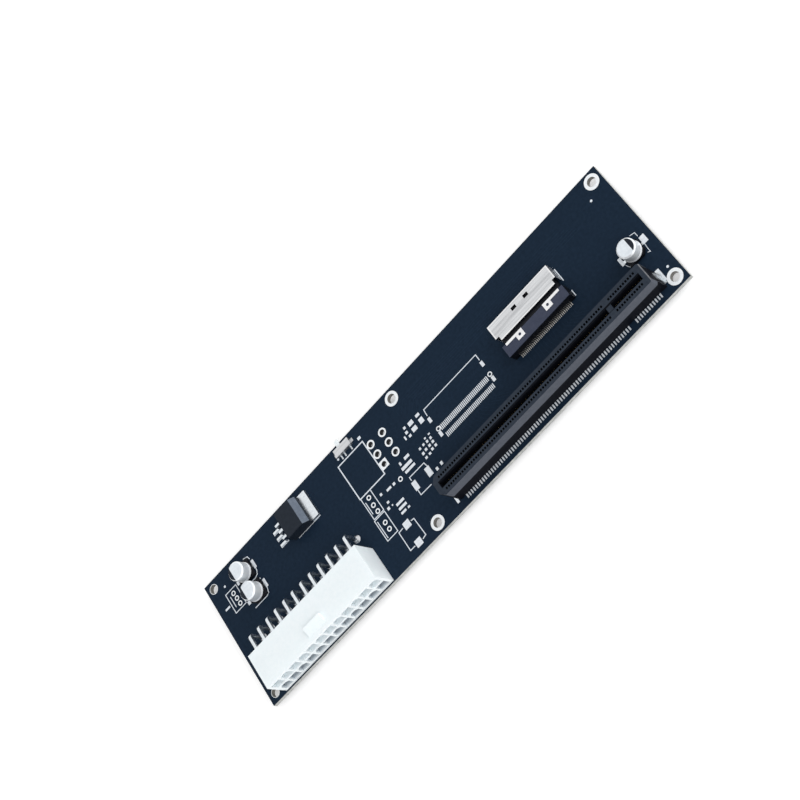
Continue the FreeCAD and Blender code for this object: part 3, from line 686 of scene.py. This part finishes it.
# The mouth's rows by height and by the way that they bow, where they start, a contact's section, and its
# bow as steps inwards and towards the other row
MOUTH_ROWS = ((2.04, -1), (0.96, 1))
MOUTH_START = (134.0, 33.9)
MOUTH_WIDTH, MOUTH_THICK = 0.32, 0.1
MOUTH_BOW = ((0.6, 0.16), (0.5, 0.04), (0.7, -0.12), (3.0, -0.06))


def mouth_contacts():
    """Two rows of flat contacts inside the cable socket's mouth."""
    piece = begin("mouth_contacts")
    for height, side in MOUTH_ROWS:
        start = on_board(*MOUTH_START, height)
        bpy.ops.mesh.primitive_plane_add(size=MM, location=start, rotation=(math.pi / 2, 0, 0))
        bpy.ops.transform.resize(value=(MOUTH_WIDTH, 1, MOUTH_THICK), center_override=start)
        for run, lean in MOUTH_BOW:
            bpy.ops.mesh.extrude_region_move(
                TRANSFORM_OT_translate={"value": (0, -run * MM, side * lean * MM)})
        bpy.ops.mesh.select_linked()
        repeat(SOCKET_WAYS, step_x=SOCKET_STEP)
    bpy.ops.mesh.select_all(action="SELECT")
    bpy.ops.mesh.normals_make_consistent(inside=False)
    finish(piece, GOLD)


def square_eyelet(x, y, side, radius):
    """A square pad with a round hole: two loops of edges bridged, with as many points on each."""
    bpy.ops.mesh.select_all(action="DESELECT")
    middle = on_board(x, y, RING_TOP)
    bpy.ops.mesh.primitive_plane_add(size=side * MM, location=middle)
    bpy.ops.mesh.delete(type="ONLY_FACE")
    bpy.ops.mesh.select_all(action="SELECT")
    bpy.ops.mesh.subdivide(number_cuts=HOLE_SIDES // 4 - 1)
    bpy.ops.mesh.primitive_circle_add(vertices=HOLE_SIDES, radius=radius * MM, location=middle)
    bpy.ops.mesh.select_all(action="SELECT")
    bpy.ops.mesh.bridge_edge_loops()


# Screw holes: place and the reach of each ring
SCREW_WALL = 1.56
SCREW_HOLES = (((183.5, 3.4), 2.6), ((183.5, 45.6), 2.6), ((81.1, 3.4), 2.5), ((92.3, 45.6), 2.5),
               ((3.0, 3.0), 1.7), ((3.0, 46.0), 1.72))

# Spare holes: two columns of three, the first with a square pad
SPARE_COLUMNS, SPARE_START, SPARE_STEP = (77.7, 83.2), 31.3, 4.2
SPARE_HOLES = [(x, SPARE_START + row * SPARE_STEP) for row in range(3) for x in SPARE_COLUMNS]
SPARE_REACH, SPARE_WALL, SPARE_BARREL = 1.5, 0.95, 0.87

# Small eyelets in the print, and one at each end of the empty cable socket place
EYELETS = ((67.0, 26.9), (66.9, 23.9), (67.0, 21.3), (66.9, 16.6), (66.9, 14.0), (79.3, 23.3),
           (8.5, 39.4), (8.7, 37.2), (8.8, 35.0))
END_EYELETS = ((99.0, 25.75), (122.5, 25.75))
EYELET_REACH, END_REACH, EYELET_WALL = 0.88, 0.85, 0.5


def plated_rings():
    """Tinned rings round the screw holes, the spare holes and the small eyelets."""
    piece = begin("plated_rings")
    square_x, square_y = SPARE_HOLES[0]
    square_eyelet(square_x, square_y, 2 * SPARE_REACH, SPARE_WALL)
    for (x, y), reach in SCREW_HOLES:
        add_lathe(x, y, [(reach, RING_TOP), (SCREW_WALL, RING_TOP)], SCREW_SIDES)
        add_lathe(x, y, [(SCREW_WALL, RING_LOW), (reach, RING_LOW)], SCREW_SIDES)
    for x, y in SPARE_HOLES[1:]:
        add_lathe(x, y, [(SPARE_REACH, RING_TOP), (SPARE_WALL, RING_TOP)])
    for x, y in SPARE_HOLES:
        add_lathe(x, y, [(SPARE_WALL, RING_LOW), (SPARE_REACH, RING_LOW)])
    for places, reach in ((EYELETS, EYELET_REACH), (END_EYELETS, END_REACH)):
        for x, y in places:
            add_lathe(x, y, [(reach, RING_TOP), (EYELET_WALL, RING_TOP)], EYELET_SIDES)
    finish(piece, RING_TIN, RING_THICK, 0.0, smooth=CREASE)


def hole_barrels():
    """The dark walls inside the spare holes and the screw holes."""
    piece = begin("hole_barrels")
    for x, y in SPARE_HOLES:
        add_lathe(x, y, [(SPARE_BARREL, RING_TOP), (SPARE_BARREL, RING_LOW)])
    finish(piece, DARK_HOLE_WALL, BARREL_THICK, 0.0, smooth=CREASE)
    piece = begin("screw_barrels")
    for (x, y), _ in SCREW_HOLES:
        add_lathe(x, y, [(SCREW_WALL, RING_TOP), (SCREW_WALL, RING_LOW)], SCREW_SIDES)
    finish(piece, DARK_SCREW_WALL, BARREL_THICK, 0.0, smooth=CREASE)


# Header pins: how many in a row, how far apart, how thick, each row's bend, and how the edges are eased
PIN_COUNT, PIN_STEP, PIN_SIZE = 12, 4.2, 1.06
PIN_BENDS = (("upper", 1.2 * MM), ("lower", 0.8 * MM))
BEND_STEPS = 6
PIN_EASE, EASE_STEPS = 0.12, 2


def header_pins():
    """Square pins with a round bend and eased edges: one is bent for each row and copied along it."""
    half = PIN_SIZE / 2 * MM
    for row, bend in PIN_BENDS:
        low, high = (Vector(corner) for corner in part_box(f"power_header_pins_{row}"))
        piece = begin(f"header_pins_{row}")
        start = Vector((low.x + half, low.y, high.z - half))
        knee = Vector((start.x, high.y - half - bend, start.z - bend))
        bpy.ops.mesh.primitive_plane_add(size=PIN_SIZE * MM, location=start,
                                         rotation=(math.pi / 2, 0, 0))
        bpy.ops.mesh.extrude_region_move(TRANSFORM_OT_translate={"value": (0, knee.y - start.y, 0)})
        bpy.ops.mesh.spin(steps=BEND_STEPS, angle=math.pi / 2, center=knee, axis=(1, 0, 0))
        bpy.ops.mesh.extrude_region_move(TRANSFORM_OT_translate={"value": (0, 0, low.z - knee.z)})
        bpy.ops.mesh.select_all(action="SELECT")
        bpy.ops.mesh.remove_doubles(threshold=MERGE)
        bpy.ops.mesh.normals_make_consistent(inside=False)
        bpy.ops.mesh.select_mode(type="EDGE")
        bpy.ops.mesh.select_all(action="DESELECT")
        bpy.ops.mesh.edges_select_sharp(sharpness=math.radians(CREASE))
        bpy.ops.mesh.bevel(offset=PIN_EASE * MM, segments=EASE_STEPS, affect="EDGES")
        bpy.ops.mesh.select_mode(type="VERT")
        bpy.ops.mesh.select_all(action="SELECT")
        repeat(PIN_COUNT, step_x=PIN_STEP)
        finish(piece, TIN, smooth=CREASE)
        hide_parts(f"power_header_pins_{row}")


# Where the first pin of each row goes through the board, and the solder's radius as it climbs from it
PIN_FEET = ((9.6, 14.3), (9.6, 19.8))
SOLDER_ABOVE = ((1.35, 0.0), (1.3, 0.12), (0.95, 0.3), (0.78, 0.8), (0.5, 0.9))
SOLDER_BELOW = ((1.35, 0.0), (1.3, 0.12), (0.95, 0.35), (0.75, 1.1), (0.5, 1.2))


def solder_joints():
    """Solder that climbs each header pin, above the board and below it."""
    piece = begin("header_solder")
    below = [(radius, -BOARD_THICK - drop) for radius, drop in SOLDER_BELOW]
    for x, y in PIN_FEET:
        for rings in (SOLDER_ABOVE, below):
            add_lathe(x, y, rings, SOLDER_SIDES)
            repeat(PIN_COUNT, step_x=PIN_STEP)
    bpy.ops.mesh.select_all(action="SELECT")
    bpy.ops.mesh.fill_holes(sides=0)
    bpy.ops.mesh.normals_make_consistent(inside=False)
    finish(piece, SOLDER, smooth=SOFT_CREASE)


def can_middle(number):
    """The middle of one capacitor's top."""
    low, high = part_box(f"capacitor_can_{number}")
    return Vector(((low[0] + high[0]) / 2, (low[1] + high[1]) / 2, high[2]))


# The flat of a can's top, and each mark: its can, its side, how far off the middle its straight edge is,
# and how far it runs over the slanted edge
CAN_FLAT = 2.7
POLARITY_MARKS = ((1, 1, 1.25, 0.05), (2, -1, 1.5, 0.22), (3, -1, 1.4, 0.22))


def capacitor_marks():
    """The dark polarity segment on each can's top, running a little over its slanted edge."""
    for number, side, cut, over in POLARITY_MARKS:
        middle = can_middle(number)
        piece = begin(f"polarity_mark_{number}")
        bpy.ops.mesh.primitive_circle_add(vertices=CAN_SIDES, radius=CAN_FLAT * MM, fill_type="NGON",
                                          location=middle)
        draw_out(middle, (CAN_FLAT + over) / CAN_FLAT, -over)
        bpy.ops.mesh.select_all(action="SELECT")
        bpy.ops.mesh.bisect(plane_co=middle + Vector((side * cut * MM, 0, 0)), plane_no=(side, 0, 0),
                            clear_inner=True)
        finish(piece, POLARITY_INK, PRINT_THICK)


# The rolled rim's section as radius and height, closed where it starts
RIM = ((3.1, 1.12), (3.24, 1.16), (3.3, 1.3), (3.3, 1.55), (3.25, 1.75), (3.1, 1.9), (3.1, 1.12))


def capacitor_rims():
    """The rolled rim at the foot of each can, brighter than the can as a painted highlight, turned on the
    first and copied to the others.
    """
    first = begin("capacitor_rim_1")
    middle = can_middle(1)
    spot = middle - on_board(0.0, 0.0)
    add_lathe(spot.x / MM, spot.y / MM, RIM, CAN_SIDES)
    bpy.ops.mesh.remove_doubles(threshold=MERGE)
    bpy.ops.mesh.normals_make_consistent(inside=False)
    finish(first, RIM_WITH_HIGHLIGHT, smooth=SOFT_CREASE)
    for number in (2, 3):
        bpy.ops.object.select_all(action="DESELECT")
        first.select_set(True)
        bpy.context.view_layer.objects.active = first
        bpy.ops.object.duplicate()
        copy = bpy.context.object
        copy.name = f"capacitor_rim_{number}"
        copy.data.name = copy.name
        bpy.ops.object.mode_set(mode="EDIT")
        bpy.ops.mesh.select_all(action="SELECT")
        bpy.ops.transform.translate(value=can_middle(number) - middle)
        bpy.ops.object.mode_set(mode="OBJECT")
        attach(copy, "card")


# Fans of traces: start and step at the cable socket, start and step at the slot, and the places across
# the board where each trace starts, leans, straightens and ends
TRACE_WIDTH = 0.2
FAN_COUNT = 16
TRACE_FANS = ((101.0, 1.25, 99.0, 2.0, (20.8, 19.2, 13.4, 11.8)),
              (135.4, 1.3, 133.6, 1.9, (20.2, 18.4, 13.6, 11.8)))

# Long runs: how many, the first one's place across the board, the step, the lean, and both ends
RUN_COUNT, RUN_START, RUN_STEP, RUN_LEAN = 7, 37.6, 0.9, 3.0
RUN_LEFT, RUN_RIGHT = 100.0, 172.0


def traces():
    """Copper under the mask: fans from the cable sockets to the slot, and long straight runs."""
    piece = begin("masked_traces")
    for start, step, end, spread, (first, lean, straight, last) in TRACE_FANS:
        for number in range(FAN_COUNT):
            x, foot = start + number * step, end + number * spread
            add_line([(x, first), (x, lean), (foot, straight), (foot, last)], TRACE_WIDTH)
    for number in range(RUN_COUNT):
        y = RUN_START + number * RUN_STEP
        left = RUN_LEFT - number
        add_line([(left - RUN_LEAN, y - RUN_LEAN), (left, y), (RUN_RIGHT - number, y)], TRACE_WIDTH)
    finish(piece, TRACE_MASK, TRACE_THICK)


# Stage


def background_share(tree):
    """One for each ray that shows the background: straight, mirrored or through glass."""
    path = tree.nodes.new("ShaderNodeLightPath")
    share = path.outputs["Is Camera Ray"]
    for kind in ("Is Glossy Ray", "Is Transmission Ray"):
        either = tree.nodes.new("ShaderNodeMath")
        either.operation = "MAXIMUM"
        tree.links.new(share, either.inputs[0])
        tree.links.new(path.outputs[kind], either.inputs[1])
        share = either.outputs[0]
    return share


# The floor's side in metres, its paint and roughness, and its glow where the background shows
FLOOR_SIDE, FLOOR_PAINT, FLOOR_ROUGH, FLOOR_GLOW = 6.0, 0.88, 0.9, 0.3


def stand():
    """A pale floor under the pin tails."""
    bpy.ops.object.select_all(action="DESELECT")
    bpy.ops.mesh.primitive_plane_add(size=FLOOR_SIDE)
    floor = bpy.context.object
    floor.name = "floor"
    material, shader = new_finish("floor_paint", FLOOR_ROUGH, specular=0.0)
    shader.inputs["Base Color"].default_value = (FLOOR_PAINT, FLOOR_PAINT, FLOOR_PAINT, 1)
    shader.inputs["Emission Color"].default_value = (1, 1, 1, 1)
    glow = add_node(material, "ShaderNodeMapRange", To_Max=FLOOR_GLOW)
    join(material, background_share(material.node_tree), glow.inputs["Value"])
    join(material, glow.outputs["Result"], shader.inputs["Emission Strength"])
    floor.data.materials.append(material)


# Lamps: name, place and size in metres, and power in watts
LAMPS = (("right_lamp", (1.5, 0.1, 0.6), 1.6, 15.0), ("front_lamp", (0.4, -1.2, 1.1), 1.2, 12.0))

# The room's strength where it lights the part, and where it shows as background
ROOM_LIGHT, ROOM_WHITE = 0.62, 1.0


def lights():
    """Two soft lamps, a low one at the right and a higher one in front, and a pale room."""
    for name, place, size, power in LAMPS:
        bpy.ops.object.light_add(type="AREA", location=place)
        lamp = bpy.context.object
        lamp.name = name
        lamp.data.size = size
        lamp.data.energy = power
        lamp.visible_glossy = False
        lamp.rotation_euler = Vector(place).to_track_quat("Z", "Y").to_euler()
    world = bpy.data.worlds.new("room")
    bpy.context.scene.world = world
    world.use_nodes = True
    back = world.node_tree.nodes["Background"]
    back.inputs["Color"].default_value = (1, 1, 1, 1)
    level = world.node_tree.nodes.new("ShaderNodeMapRange")
    level.inputs["To Min"].default_value = ROOM_LIGHT
    level.inputs["To Max"].default_value = ROOM_WHITE
    world.node_tree.links.new(background_share(world.node_tree), level.inputs["Value"])
    world.node_tree.links.new(level.outputs["Result"], back.inputs["Strength"])


# The camera's sensor and lens in millimetres, its nearest distance in metres, its place over the board,
# and the directions to its right and to its back
SENSOR, LENS, NEAREST = 36.0, 80.1, 0.01
EYE = (264.8, -240.6, 438.1)
EYE_RIGHT, EYE_BACK = (0.645777, -0.501405, -0.575817), (0.310523, -0.516497, 0.798002)


def camera():
    """The photograph's camera, fitted to the board's corners, the slot and the header."""
    bpy.ops.object.camera_add()
    eye = bpy.context.object
    eye.name = "photo_camera"
    eye.data.sensor_width = SENSOR
    eye.data.lens = LENS
    eye.data.clip_start = NEAREST
    right, back = Vector(EYE_RIGHT), Vector(EYE_BACK)
    turn = Matrix((right, back.cross(right), back)).transposed()
    eye.matrix_world = Matrix.Translation(on_board(*EYE)) @ turn.to_4x4()
    bpy.context.scene.camera = eye


dress_nodes()
traces()
white_print()
pads()
slot_pads()
slot_springs()
mouth_contacts()
plated_rings()
hole_barrels()
header_pins()
solder_joints()
capacitor_marks()
capacitor_rims()
stand()
lights()
camera()
bpy.context.scene.view_settings.view_transform = "Standard"
